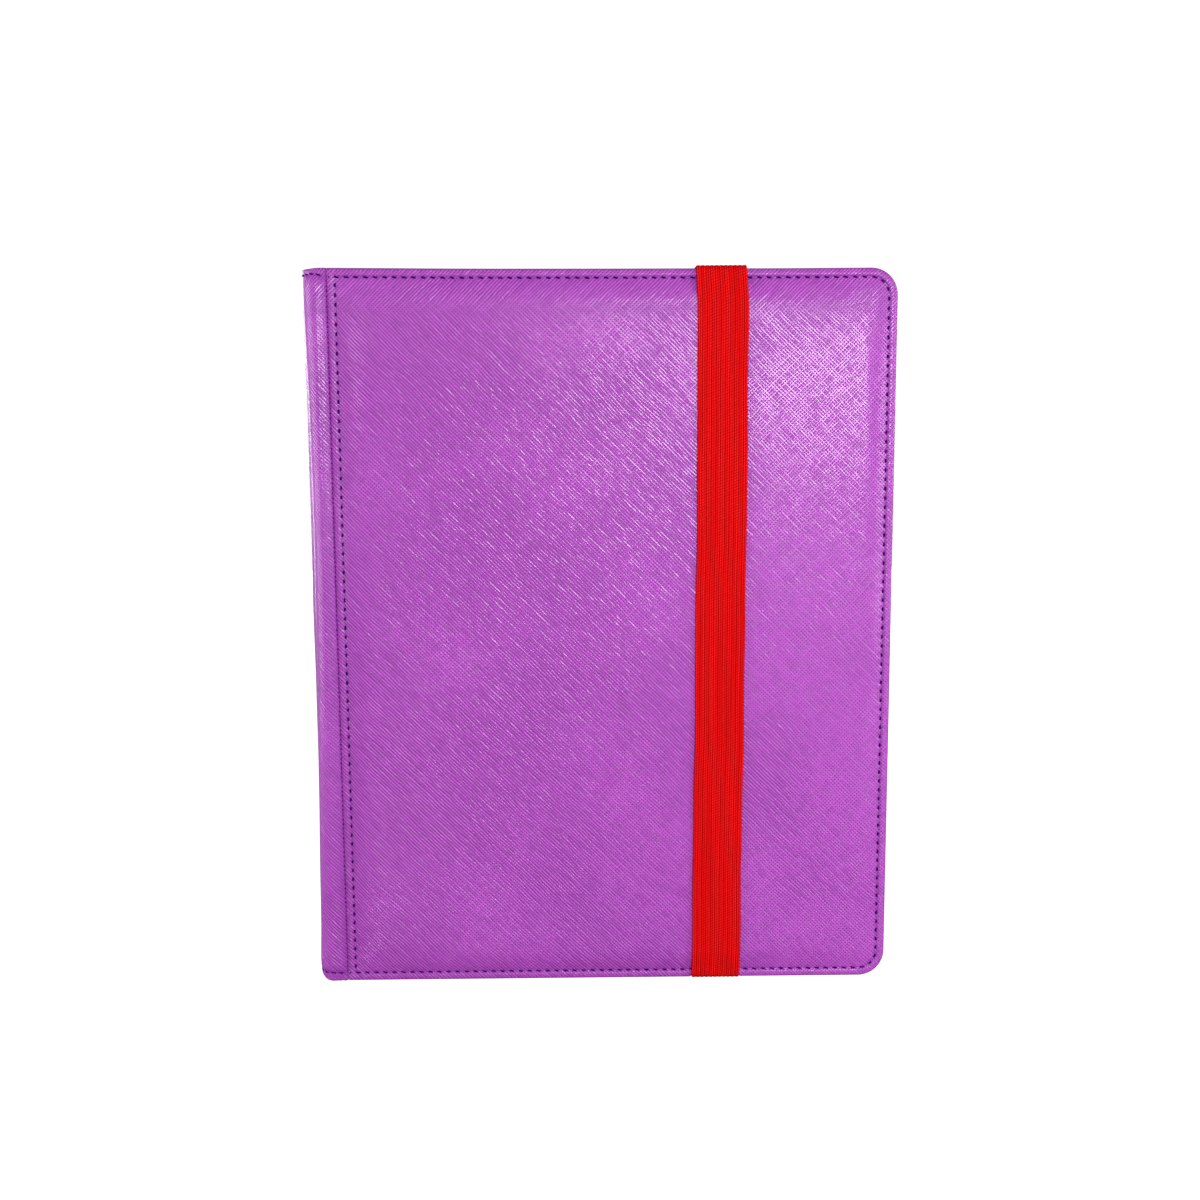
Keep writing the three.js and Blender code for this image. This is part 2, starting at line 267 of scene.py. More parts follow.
def outline(inset, stride=1):
    """Points in X and Z round a cover, pulled in by an inset, from the spine end of the bottom edge on."""
    if inset <= STITCH_INSET:
        fore = max(FORE_RADIUS - inset, 0.5)
        hinge = max(HINGE_RADIUS - inset, MIN_RADIUS)
    else:
        fore = FORE_RADIUS - STITCH_INSET - FORE_TIGHTEN * (inset - STITCH_INSET)
        hinge = MIN_RADIUS + HINGE_WIDEN * (inset - STITCH_INSET)
    left, right, low, high = LEFT + inset, RIGHT - inset, inset, HEIGHT - inset
    across = int(round((RIGHT - LEFT) / GRID_STEP))
    upward = int(round(HEIGHT / GRID_STEP))
    corners = [(right - fore, low + fore, fore, -90, FORE_STEPS),
               (right - fore, high - fore, fore, 0, FORE_STEPS),
               (left + hinge, high - hinge, hinge, 90, HINGE_STEPS),
               (left + hinge, low + hinge, hinge, 180, HINGE_STEPS)]
    arcs = []
    for x, z, radius, start, steps in corners:
        angles = np.radians(start + np.linspace(0, 90, steps + 1))
        arcs.append(columns_of(x + radius * np.cos(angles), z + radius * np.sin(angles)))
    parts = []
    for before, after, steps in ((3, 0, across), (0, 1, upward), (1, 2, across), (2, 3, upward)):
        share = (np.arange(1, steps) / steps)[:, None]
        parts.append(arcs[before][-1] * (1 - share) + arcs[after][0] * share)
        parts.append(arcs[after])
    return np.concatenate(parts)[::stride]


RING_SEAM = outline(STITCH_INSET)
RING_LENGTHS = polyline_lengths(np.concatenate([RING_SEAM, RING_SEAM[:1]]))
RING_TOTAL = RING_LENGTHS[-1]
STITCH_COUNT = int(round(RING_TOTAL / STITCH_PITCH))
PITCH = RING_TOTAL / STITCH_COUNT


def strap_centre(z):
    """The strap's centre line leans and bows a little, as a stretched band does."""
    return STRAP_X + np.interp(z, *STRAP_LEAN)


def under_strap(x, z, margin=3.0, begin=0.0):
    away = np.abs(x - strap_centre(z)) - STRAP_HALF * STRAP_NARROW
    return 1 - smooth_step(away, begin, begin + margin)


def top_sag(x):
    """How much lower than the spine end a cover's soft top edge lies."""
    return np.interp((x - LEFT) / (RIGHT - LEFT), *TOP_SAG)


def settle(points):
    """The soft top edge sags away from the spine, and the bottom edge gives way under the strap."""
    points = np.array(points, float)
    x, z = points[:, 0], points[:, 2]
    sag = top_sag(x) * smooth_step(z, HEIGHT * 0.6, HEIGHT)
    give = STRAP_RECESS * under_strap(x, np.zeros_like(x), 1.2, -0.9) * np.clip(1 - z / 9, 0, 1) ** 2
    points[:, 2] += give - sag
    return points


def cloth_rise(xs, zs):
    """The height of cloth held at the seam and filled from behind, divided by its slope there."""
    grid_x, grid_z = np.meshgrid(xs, zs, indexing="ij")
    points = columns_of(grid_x.ravel(), np.zeros(grid_x.size), grid_z.ravel())
    index = np.arange(grid_x.size).reshape(grid_x.shape)
    faces = [face for first, second in zip(index, index[1:]) for face in band(first, second, closed=False)]
    mesh = new_mesh("panel_form", points, faces)
    obj = new_object("panel_form", mesh)
    held = obj.vertex_groups.new(name="seam")
    border = np.concatenate([index[0], index[-1], index[:, 0], index[:, -1]])
    held.add([int(i) for i in border], 1.0, "ADD")
    cloth = obj.modifiers.new("Cloth", "CLOTH")
    cloth.settings.vertex_group_mass = "seam"
    cloth.settings.use_pressure = True
    cloth.settings.uniform_pressure_force = CLOTH_PRESSURE
    cloth.settings.effector_weights.gravity = 0
    cloth.collision_settings.use_self_collision = False
    cloth.point_cache.frame_start, cloth.point_cache.frame_end = 1, CLOTH_FRAMES
    for number in range(1, CLOTH_FRAMES + 1):
        bpy.context.scene.frame_set(number)
    shown = obj.evaluated_get(bpy.context.evaluated_depsgraph_get())
    co = np.zeros(len(points) * 3)
    shown.data.vertices.foreach_get("co", co)
    bpy.context.scene.frame_set(1)
    bpy.data.objects.remove(obj)
    bpy.data.meshes.remove(mesh)
    height = np.abs(co.reshape(-1, 3)[:, 1].reshape(grid_x.shape)) * MM
    i, j = len(xs) // 2, len(zs) // 2
    across, upward = xs[1] - xs[0], zs[1] - zs[0]
    slope = np.mean([height[1, j] / across, height[-2, j] / across,
                     height[i, 1] / upward, height[i, -2] / upward])
    return height / slope


def inflated_panel():
    """A grid over a cover, with each point's rise as a distance from the seam."""
    xs = np.linspace(LEFT + STITCH_INSET, RIGHT - STITCH_INSET, CLOTH_CELLS[0] + 1)
    zs = np.linspace(STITCH_INSET, HEIGHT - STITCH_INSET, CLOTH_CELLS[1] + 1)
    return xs, zs, cloth_rise(xs, zs)


PANEL_XS, PANEL_ZS, PANEL_RISE = inflated_panel()


def pad_reach(x, z):
    """How far a point of the padded face is from the seam, from the filled cloth's rise."""
    i = np.clip((x - PANEL_XS[0]) / (PANEL_XS[1] - PANEL_XS[0]), 0, len(PANEL_XS) - 1.001)
    j = np.clip((z - PANEL_ZS[0]) / (PANEL_ZS[1] - PANEL_ZS[0]), 0, len(PANEL_ZS) - 1.001)
    i0, j0 = i.astype(int), j.astype(int)
    u, v = i - i0, j - j0
    field = PANEL_RISE
    return ((1 - u) * (1 - v) * field[i0, j0] + u * (1 - v) * field[i0 + 1, j0]
            + (1 - u) * v * field[i0, j0 + 1] + u * v * field[i0 + 1, j0 + 1])


def pad_depth(points, side, inset=None):
    """Depth of the padded face below its plane, from the seam inwards."""
    x, z = points[:, 0], points[:, 1]
    reach = pad_reach(x, z)
    if inset is not None:
        reach = np.minimum(reach, inset - STITCH_INSET)
    depth = SEAM_DEPTH * np.clip(1 - reach / PAD_REACH, 0, 1) ** 2
    inner = 1 - np.exp(-reach / 15)
    depth += 0.12 * inner * (np.sin(x / 31 + 1.3) * np.sin(z / 43 + 0.7) + 0.6 * np.sin((x + z) / 57))
    if side == FRONT:
        depth += STRAP_DENT * under_strap(x, z) * (1 - np.exp(-reach / 8))
    return depth


def pucker(inset):
    """Leather pulled down under each stitch and raised between them, fading away from the seam."""
    phase = np.cos(2 * np.pi * RING_LENGTHS[:-1] / PITCH)
    return PUCKER * phase * math.exp(-abs(inset - STITCH_INSET) / 1.5)


def fill(ring, spacing, columns=()):
    """Points inside a ring on a grid, and triangles over the ring's and the grid's points."""
    low, high = ring.min(0), ring.max(0)
    xs = np.arange(low[0] + spacing * 0.7, high[0] - spacing * 0.5, spacing)
    for extra in columns:
        xs = xs[np.abs(xs - extra) > spacing * 0.3]
        xs = np.append(xs, extra)
    zs = np.arange(low[1] + spacing * 0.7, high[1] - spacing * 0.5, spacing)
    grid = np.stack(np.meshgrid(np.sort(xs), zs, indexing="ij"), -1).reshape(-1, 2)
    corner = 4.0
    near = ((np.minimum(grid[:, 0] - low[0], high[0] - grid[:, 0]) < corner)
            & (np.minimum(grid[:, 1] - low[1], high[1] - grid[:, 1]) < corner))
    grid = grid[~near]
    points = np.concatenate([ring, grid])
    count = len(ring)
    edges = [(i, (i + 1) % count) for i in range(count)]
    found = geometry.delaunay_2d_cdt([tuple(p) for p in points], edges, [list(range(count))], 1, 1e-5)
    origin = [group[0] for group in found[3]]
    return grid, [tuple(origin[i] for i in face) for face in found[2]]


def at_depth(flat, depth, side):
    """Points in space from points in X and Z, at a depth below a cover's padded face."""
    y = MIDDLE_Y + side * (HALF_THICKNESS - np.broadcast_to(depth, len(flat)))
    return columns_of(flat[:, 0], y, flat[:, 1])


def grain_place(vertices, levels, rings, stride):
    """Grain coordinates: plain on the face, and carried on over the edge without stretching."""
    count = len(rings[0])
    away = outline(0, stride) - outline(STITCH_INSET / 2, stride)
    place = vertices[:, [0, 2, 1]].copy()
    place[:, 2] = 0
    rim = max((k for k, level in enumerate(levels) if level[0] <= EDGE_RADIUS + 0.01), default=0)
    gone = 0.0
    for k in range(rim - 1, -1, -1):
        here, after = (vertices[j * count:(j + 1) * count] for j in (k, k + 1))
        gone += float(np.median(np.linalg.norm(after - here, axis=1)))
        place[k * count:(k + 1) * count, :2] = rings[rim] + unit(away) * gone
    return place


def panel_solid(name, side, levels, materials, stride=1, spacing=3.0, columns=(), zones=None):
    """A closed solid through rings, filled at the first and the last. Each level is (inset, depth), and a
    depth may be a function of the inset and the ring. Zones give each band of faces its material."""
    rings = [outline(inset, stride) for inset, _ in levels]
    count = len(rings[0])
    zones = zones or [0] * (len(levels) + 1)
    vertices, insets, faces, kinds = [], [], [], []
    for (inset, depth), ring in zip(levels, rings):
        vertices.append(at_depth(ring, depth(inset, ring) if callable(depth) else depth, side))
        insets.append(np.full(count, inset))
    for k, zone in enumerate(zones[1:-1]):
        row = np.arange(count) + k * count
        faces += band(row, row + count)
        kinds += [zone] * count
    total = count * len(levels)
    for first, (_, depth), ring, zone in ((0, levels[0], rings[0], zones[0]),
                                          (total - count, levels[-1], rings[-1], zones[-1])):
        grid, triangles = fill(ring, spacing, columns)
        vertices.append(at_depth(grid, depth(None, grid) if callable(depth) else depth, side))
        insets.append(np.full(len(grid), HEIGHT))
        faces += [tuple(i + first if i < count else i - count + total for i in face) for face in triangles]
        kinds += [zone] * len(triangles)
        total += len(grid)
    vertices, insets = np.concatenate(vertices), np.concatenate(insets)
    # Painted shade: a band along the stitch line where the material darkens the leather's colour.
    painted_shade = np.exp(-((insets - STITCH_INSET) / 0.8) ** 2)
    looks = {"grain_place": grain_place(vertices, levels, rings, stride), "painted_shade": painted_shade}
    return new_piece(name, settle(vertices), faces, materials, kinds, looks)


def cover_leather(cover, side, material, inside):
    """One shell: its back, the folded hem, the rounded edge, the rim, the seam and the padded face."""
    top = lambda inset, ring: pad_depth(ring, side, inset) + (pucker(inset) if inset else 0)
    under = lambda inset, ring: pad_depth(ring, side, inset) + LEATHER
    hem = PANEL_DEPTH + 0.1
    levels = [(inset, under) for inset in (PAD_INSET, 10.0, 7.5, 5.6, 4.6)]
    levels += [(3.4, 3.3), (2.1, 3.2), (2.0, 3.9), (2.3, hem - LEATHER), (6.2, hem - LEATHER)]
    inner_zones = len(levels) - 1
    levels += [(6.3, hem - 0.35), (6.2, hem), (4.5, hem), (2.8, hem), (EDGE_RADIUS, hem)]
    centre = hem - EDGE_RADIUS
    for angle in range(20, 181, 20):
        turn = math.radians(angle)
        levels.append((EDGE_RADIUS * (1 - math.sin(turn)), centre + EDGE_RADIUS * math.cos(turn)))
    rim = [*zip(RIM_INSETS, RIM_DEPTHS), (STITCH_INSET, SEAM_DEPTH + 0.03)]
    levels += [(inset, depth + pucker(inset)) for inset, depth in rim]
    levels += [(inset, top) for inset in PAD_INSETS]
    columns = () if side == BACK else [STRAP_X + sign * (STRAP_HALF + off)
                                       for sign in (-1, 1) for off in (-1.5, 0, 1.2, 2.4)]
    zones = [1] * inner_zones + [0] * (len(levels) + 1 - inner_zones)
    return panel_solid(f"{cover}_cover_leather", side, levels, [material, inside],
                       columns=columns, zones=zones)


def cover_padding(cover, side, material):
    """The foam under a cover's leather."""
    top = lambda inset, ring: pad_depth(ring, side, inset) + LEATHER + 0.12
    floor = FOAM_HIGH[1] - FRONT_LOW[1]
    levels = [(6.4, floor), (6.2, floor - 0.1), (6.3, top), (8.0, top), (10.5, top), (PAD_INSET, top)]
    return panel_solid(f"{cover}_cover_padding", side, levels, [material], stride=4, spacing=6.0)


def cover_lining(cover, side, material):
    """A cover's inner lining, drawn in at the seam."""
    near, far = LINING_DEPTHS
    face = lambda _, ring: far - 0.1 - 0.1 * np.sin(ring[:, 0] / 41 + 0.4) * np.sin(ring[:, 1] / 37 + 1.1)
    flat, seam = far - 0.08, far - LINING_SEAM
    levels = [(PAD_INSET, face), (9.0, flat), (6.5, flat), (5.0, flat), (4.4, seam), (STITCH_INSET, seam),
              (3.5, seam), (3.0, flat), (2.4, flat), (LINING_INSET + 0.1, flat - 0.15),
              (LINING_INSET, flat - 0.3), (LINING_INSET + 0.1, near + 0.02), (PAD_INSET, near + 0.02)]
    return panel_solid(f"{cover}_cover_lining", side, levels, [material], stride=2, spacing=6.0)


# ---- spine leather

def spine_profile(side):
    """The soft roll from under a cover's folded edge to the middle of the spine, in plan, as (x, y)."""
    from_edge = lambda points: np.array([[LEFT + x, side * y] for x, y in points])
    curve = [*from_edge((ROLL_SEAM, ROLL_BULGE)), np.array([SPINE_X, side * ROLL_SHOULDER]),
             np.array([SPINE_X, side * ROLL_FLAT])]
    t = np.linspace(0, 1, 60)[:, None]
    bezier = ((1 - t) ** 3 * curve[0] + 3 * (1 - t) ** 2 * t * curve[1]
              + 3 * (1 - t) * t ** 2 * curve[2] + t ** 3 * curve[3])
    flat = columns_of(np.full(6, SPINE_X), side * np.linspace(6.0, 0, 6))
    line = np.concatenate([from_edge(ROLL_TUCK), bezier, flat])
    line[:, 1] += MIDDLE_Y
    lengths = polyline_lengths(line)
    even = np.linspace(0, lengths[-1], 46)
    return columns_of(*(np.interp(even, lengths, line[:, k]) for k in (0, 1)))


def spine_ends(line):
    """Heights of the roll's bottom and top along its profile, and of the seams that cross it."""
    away, off = LEFT - line[:, 0], np.abs(line[:, 1] - MIDDLE_Y)
    round_part = smooth_step(off, 4, 9)
    turn = np.clip((away - (LEFT - SPINE_X) + CORNER_RADIUS) / CORNER_RADIUS, 0, 0.97)
    bottom = CORNER_RADIUS * (1 - np.sqrt(1 - turn ** 2)) * round_part
    top = HEIGHT - TOP_SAG[1][0] - 0.5 * smooth_step(away, 1.0, LEFT - SPINE_X)
    return bottom, top, np.full_like(away, LOW_SEAM), top - HIGH_SEAM + 1.3 * smooth_step(away, 0.5, 4.5)


def spine_surface(side, sunk, z):
    """Points of the roll at one height, sunk below its surface, and their outward directions."""
    line = spine_profile(side)
    away, off = LEFT - line[:, 0], np.abs(line[:, 1] - MIDDLE_Y)
    tangent = unit(np.gradient(line, axis=0))
    outward = columns_of(tangent[:, 1], -tangent[:, 0]) * (1 if side == BACK else -1)
    roll = smooth_step(away, 0.5, 3)
    bottom, top, low_seam, high_seam = spine_ends(line)
    height = bottom + z * (top - bottom) / HEIGHT
    seam = np.exp(-((height - high_seam) / 0.9) ** 2) + np.exp(-((height - low_seam) / 0.9) ** 2)
    sideways, facing = np.abs(outward[:, 0]), np.abs(outward[:, 1])
    round_part = smooth_step(off, 4, 10)
    waist = float(np.interp(z, *WAIST)) * sideways * round_part
    ends = (2.3 * math.exp(-(z / 5.0) ** 2) + 1.6 * math.exp(-((HEIGHT - z) / 4.0) ** 2)) * facing
    slack = 0.10 * math.sin(z / 23 + 0.5) + 0.07 * math.sin(z / 9.5 + 1.9)
    lift = roll * (slack - 0.28 * seam - waist) - ends * smooth_step(away, -0.6, 1.0)
    # Painted shade: darker along the roll's top and bottom seams and in the groove beside the cover's folded
    # edge.
    painted_shade = seam + 0.5 * np.exp(-(away / 3.6) ** 2) * (off > 13.0)
    return line + outward * (lift - sunk)[:, None], height, outward, painted_shade


def spine_leather(name, side, material, inside):
    """One half of the roll, as a closed sheet with folded ends."""
    fine = np.concatenate([np.linspace(ROLL_FOLD, 9, 18), np.linspace(9, HEIGHT - 9, 88)[1:-1],
                           np.linspace(HEIGHT - 9, HEIGHT - ROLL_FOLD, 18)])
    loop = [(0.0, z) for z in fine]
    turn = np.radians(np.linspace(0, 180, 7))[1:-1]
    loop += [(ROLL_THICKNESS / 2 * (1 - math.cos(a)), HEIGHT - ROLL_FOLD * (1 - math.sin(a))) for a in turn]
    loop += [(ROLL_THICKNESS, z) for z in fine[::-2]]
    loop += [(ROLL_THICKNESS / 2 * (1 + math.cos(a)), ROLL_FOLD * (1 - math.sin(a))) for a in turn]
    vertices, place, painted_shade = [], [], []
    along = polyline_lengths(spine_profile(side))
    for sunk, z in loop:
        # The last value is the painted shade of the roll's seams and groove.
        line, height, _, seam = spine_surface(side, sunk, z)
        vertices.append(columns_of(line[:, 0], line[:, 1], height))
        place.append(columns_of(-along, np.full(len(along), z), np.zeros(len(along))))
        painted_shade.append(seam)
    columns = len(along)
    rows = [np.arange(columns) + k * columns for k in range(len(loop))]
    faces, kinds = [], []
    for k, row in enumerate(rows):
        after = rows[(k + 1) % len(rows)]
        new = band(row, after, closed=False)
        faces += new
        inner = min(loop[k][0], loop[(k + 1) % len(loop)][0]) >= ROLL_THICKNESS - 1e-6
        kinds += [1 if inner else 0] * len(new)
    for column in (0, columns - 1):
        faces.append([int(row[column]) for row in rows])
        kinds.append(0)
    return new_piece(name, np.concatenate(vertices), faces, [material, inside], kinds,
                     {"grain_place": np.concatenate(place), "painted_shade": np.concatenate(painted_shade)})


# ---- sewing

def stitch_mesh(name, places, along, outward, material, length=STITCH_LENGTH, radius=0.4, sunk=0.5,
                slant=-14):
    """Separate stitches. Each bows out of the leather and dives into it at both ends."""
    places = np.asarray(places, float)
    along, outward = (np.broadcast_to(np.asarray(v, float), places.shape) for v in (along, outward))
    across = np.cross(outward, along)
    upright = np.abs(along[:, 2:3])
    turn = np.radians(slant) * (1 - 0.8 * upright)
    along = along * np.cos(turn) + across * np.sin(turn)
    across = np.cross(outward, along)
    stations = np.array([-1.0, -0.86, -0.5, 0.0, 0.5, 0.86, 1.0]) * length / 2
    rise = np.array([-sunk, -0.02, 0.15, 0.2, 0.15, -0.02, -sunk])
    width = np.array([0.5, 0.82, 1.0, 1.0, 1.0, 0.82, 0.5]) * radius
    angles = np.linspace(0, 2 * np.pi, STITCH_SIDES, endpoint=False)
    local = np.array([[s, w * math.cos(a), r + w * math.sin(a)]
                      for s, r, w in zip(stations, rise, width) for a in angles])
    count = len(local)
    long = 1 - 0.2 * upright[:, None, :]
    vertices = (places[:, None, :] + local[None, :, 0:1] * along[:, None, :] * long
                + local[None, :, 1:2] * across[:, None, :]
                + local[None, :, 2:3] * outward[:, None, :]).reshape(-1, 3)
    pattern = []
    for k in range(len(stations) - 1):
        row = np.arange(STITCH_SIDES) + k * STITCH_SIDES
        pattern += band(row, row + STITCH_SIDES)
    pattern += [tuple(range(STITCH_SIDES)), tuple(range(count - 1, count - 1 - STITCH_SIDES, -1))]
    faces = [tuple(i + n * count for i in face) for n in range(len(places)) for face in pattern]
    tint = np.repeat(np.sin(np.arange(len(places)) * 2.4) * 0.5 + 0.5, count)
    looks = {"thread_place": np.tile(local, (len(places), 1)), "tint": tint}
    return new_piece(name, vertices, faces, [material], None, looks, 80)


def seam_points(start, stop):
    """Stitches start to stop of the seam round a cover, as places in X and Z with their directions."""
    closed = np.concatenate([RING_SEAM, RING_SEAM[:1]])
    at = np.arange(start, stop) * PITCH
    on_seam = lambda s: columns_of(*(np.interp(s % RING_TOTAL, RING_LENGTHS, side) for side in closed.T))
    points, way = on_seam(at), on_seam(at + 0.5) - on_seam(at - 0.5)
    return points, unit(way)


def cover_stitches(cover, side, material):
    """The edge seam and the hinge seam, on the leather and on the lining."""
    made = []
    corner = np.argmax((RING_SEAM[:, 0] < LEFT + STITCH_INSET + 0.2) & (RING_SEAM[:, 1] > HEIGHT / 2))
    edge_end = int(RING_LENGTHS[corner] / PITCH)
    for seam, start, stop in (("edge", 1, edge_end + 1), ("hinge", edge_end + 1, STITCH_COUNT + 1)):
        points, way = seam_points(start, stop)
        if seam == "edge":
            extra = np.array([[LEFT + 1.9, STITCH_INSET], [LEFT + 1.9, HEIGHT - STITCH_INSET]])
            points = np.concatenate([points, extra])
            way = np.concatenate([way, [[1.0, 0.0], [-1.0, 0.0]]])
        for face, depth, look in (("", SEAM_DEPTH - 0.02, side),
                                  ("_inside", LINING_DEPTHS[1] - LINING_SEAM, -side)):
            places = settle(at_depth(points, depth, side))
            along = np.insert(way, 1, 0, axis=1)
            made.append(stitch_mesh(f"{cover}_{seam}_stitches{face}", places, along, [0, look, 0], material))
    return made


def spine_stitches(name, side, material):
    """The top and bottom seams, carried on round the roll."""
    places, along, outward = [], [], []
    line = spine_profile(side)
    lengths = polyline_lengths(line)
    bottom, top, low_seam, high_seam = spine_ends(line)
    for level in (high_seam, low_seam):
        rise = (level - bottom) / (top - bottom) * HEIGHT
        for at in np.arange(SPINE_STITCH_START, lengths[-1] - 1.2, STITCH_PITCH * 0.86):
            k = min(int(np.searchsorted(lengths, at)), len(line) - 2)
            row, _, normal, _ = spine_surface(side, 0.12, float(rise[k]))
            places.append([*row[k], level[k]])
            along.append([*unit(row[k + 1] - row[k - 1]), 0])
            outward.append([*normal[k], 0])
    return stitch_mesh(name, places, along, outward, material, length=2.3)


def folded_seam_thread(name, side, material):
    """Small thread ends in the groove between the roll and the cover's folded edge."""
    zs = np.arange(5, HEIGHT - 4, 2.2)
    places = [(LEFT + 0.22, MIDDLE_Y + side * 13.95, z) for z in zs]
    return stitch_mesh(name, places, [0, 0, 1], [0, side, 0], material,
                       length=0.9, radius=0.2, sunk=0.2, slant=0)


# ---- strap

def strap_piece(name, material):
    """One ribbed band: sewn into the back cover's edge, over the top, down the front and back underneath."""
    thick = STRAP_BASE + STRAP_RIB
    tail_y = MIDDLE_Y + HALF_THICKNESS - (PANEL_DEPTH + 0.28)
    top = HEIGHT - float(top_sag(STRAP_X)) + thick + 0.05
    rim_y = FRONT_LOW[1] + RIM_DEPTHS[0] - thick - 0.02
    face_y = FRONT_LOW[1] + STRAP_DENT - thick - 0.02
    path = rounded_path([(tail_y, HEIGHT - 6.5, 0), (tail_y, top, 1.0), (rim_y - 0.1, top, 2.0),
                         (face_y, HEIGHT - 12.5, 16.0), (face_y, 12.5, 16.0), (rim_y - 0.1, thick, 2.0),
                         (tail_y, thick, 1.0), (tail_y, 6.5, 0)], 1.6)
    path = path[np.concatenate([[True], np.linalg.norm(np.diff(path, axis=0), axis=1) > 0.05])]
    tangent = unit(np.gradient(path, axis=0))
    outward = columns_of(-tangent[:, 1], tangent[:, 0])
    if outward[np.argmin(path[:, 0])][0] > 0:
        outward = -outward
    lengths = polyline_lengths(path)
    per_rib = 8
    across = np.linspace(-1, 1, STRAP_RIBS * per_rib + 1)
    share = (across + 1) / 2 * STRAP_RIBS % 1.0
    bump = np.sqrt(np.clip(1 - (2 * share - 1) ** 2, 0, 1))
    bump[0] = bump[-1] = 0
    profile = (STRAP_BASE + STRAP_RIB * bump) * (1 - smooth_step(np.abs(across), 0.975, 1.0) * 0.75)
    ring_u = np.concatenate([across, across[::-1]])
    ring_h = np.concatenate([profile, -profile[::-1]])
    count = len(ring_u)
    vertices, place = [], []
    for (y, z), normal, length in zip(path, outward, lengths):
        tail = min(1.0, 0.55 + 0.45 * float(smooth_step(abs(y - tail_y), 0.2, 2.5)))
        wander = 0.12 * math.sin(length / 17) + 0.08 * math.sin(length / 7.3)
        centre = float(strap_centre(min(max(z, 0), HEIGHT))) + wander
        scale = 1 - 0.006 * math.sin(length / 11)
        x = centre + ring_u * STRAP_HALF * STRAP_NARROW * scale
        h = ring_h * tail
        vertices.append(columns_of(x, y + normal[0] * h, z + normal[1] * h))
        place.append(columns_of(ring_u * STRAP_HALF, np.full(count, length), ring_h))
    rows = [np.arange(count) + k * count for k in range(len(path))]
    faces = []
    for first, second in zip(rows, rows[1:]):
        faces += band(first, second)
    faces += [rows[0], rows[-1]]
    return new_piece(name, np.concatenate(vertices), faces, [material], None,
                     {"band_place": np.concatenate(place)}, 75)


# ---- pocket leaves

def pocket_leaf(node, number, film, core):
    """A black sheet with three by three clear pockets on each side, and a thin hem that is bound in."""
    low, high = box_mm(node)
    middle = (low[1] + high[1]) / 2
    rng = np.random.default_rng(700 + number)
    reach = high[0] + rng.uniform(-0.45, 0.1)
    hem_end = low[0] + HEM
    xs = [low[0] + step for step in (-0.3, 1, 2.5, 4, 5.5, 7, 8, HEM)]
    columns = np.linspace(hem_end + 1.0, reach - 1.2, 4)
    for left, right in zip(columns, columns[1:]):
        xs += list(np.linspace(left + WELD / 2, right - WELD / 2, 9))
    xs += [reach - 0.4, reach]
    rows = np.linspace(low[2] + 1.6, high[2] - 1.6, 4)
    zs = [low[2], low[2] + 0.5]
    for bottom, top in zip(rows, rows[1:]):
        zs += list(np.linspace(bottom + WELD / 2, top - WELD / 2, 11))
    zs += [high[2] - 0.5, high[2]]
    xs, zs = np.array(xs), np.array(zs)
    gx, gz = np.meshgrid(xs, zs, indexing="ij")
    full = (high[1] - low[1]) / 2
    body = smooth_step(gx, hem_end - 1.5, hem_end + 0.5)
    pocket = np.zeros_like(gx)
    for left, right in zip(columns, columns[1:]):
        for bottom, top in zip(rows, rows[1:]):
            u = np.clip((gx - left - WELD / 2) / (right - left - WELD), 0, 1)
            v = np.clip((gz - bottom - WELD / 2) / (top - bottom - WELD), 0, 1)
            inside = (16 * u * (1 - u) * v * (1 - v)) ** 0.3
            pocket = np.maximum(pocket, inside * (0.86 + 0.14 * rng.random()))
    half = HEM_HALF + body * (SHEET_HALF - HEM_HALF + (full - SHEET_HALF) * pocket)
    past = np.maximum(0, np.abs(gz - (low[2] + high[2]) / 2) - (high[2] - low[2]) / 2 + LEAF_CORNER)
    pull = LEAF_CORNER - np.sqrt(np.maximum(LEAF_CORNER ** 2 - past ** 2, 0))
    x = gx - np.where(gx > reach - LEAF_CORNER, pull, 0)
    ripple = 0.05 * np.sin(gz / 38 + number) * smooth_step(gx, hem_end, reach)
    width, tall = gx.shape
    front, back = (columns_of(x, middle + ripple + side * half, gz).reshape(-1, 3) for side in (-1, 1))
    index = np.arange(width * tall).reshape(width, tall)
    offset = width * tall
    faces = []
    for i in range(width - 1):
        faces += band(index[i], index[i + 1], closed=False)
        faces += band(index[i] + offset, index[i + 1] + offset, closed=False)
    border = np.concatenate([index[:, 0], index[-1, 1:], index[-2::-1, -1], index[0, -2:0:-1]])
    rim = band(border, border + offset)
    kinds = [0] * len(faces) + [1] * len(rim)
    faces += rim
    return new_piece(f"pocket_page_{number:02d}", np.concatenate([front, back]), faces, [film, core], kinds,
                     {"pocket": np.tile(pocket.ravel(), 2)}, 40)


# ---- softened copies of inner solids

def soften(node, name, material, radius):
    """A copy of a plain CAD slab with rolled edges, which stands for it."""
    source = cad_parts[node]
    work = bmesh.new()
    work.from_mesh(source.data)
    bmesh.ops.remove_doubles(work, verts=work.verts, dist=1e-6)
    bmesh.ops.dissolve_limit(work, angle_limit=math.radians(2), verts=work.verts, edges=work.edges)
    sharp = [e for e in work.edges if len(e.link_faces) == 2 and e.calc_face_angle() > math.radians(20)]
    bmesh.ops.bevel(work, geom=sharp, offset=radius / MM, segments=3, profile=0.6, affect="EDGES",
                    clamp_overlap=True)
    bmesh.ops.triangulate(work, faces=[f for f in work.faces if len(f.verts) > 4])
    bmesh.ops.recalc_face_normals(work, faces=work.faces)
    mesh = bpy.data.meshes.new(name)
    work.to_mesh(mesh)
    work.free()
    mesh.materials.clear()
    mesh.materials.append(material)
    mesh.polygons.foreach_set("material_index", np.zeros(len(mesh.polygons), np.int32))
    shade(mesh, 40)
    obj = new_object(name, mesh)
    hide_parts(node)
    return obj


# ---- materials

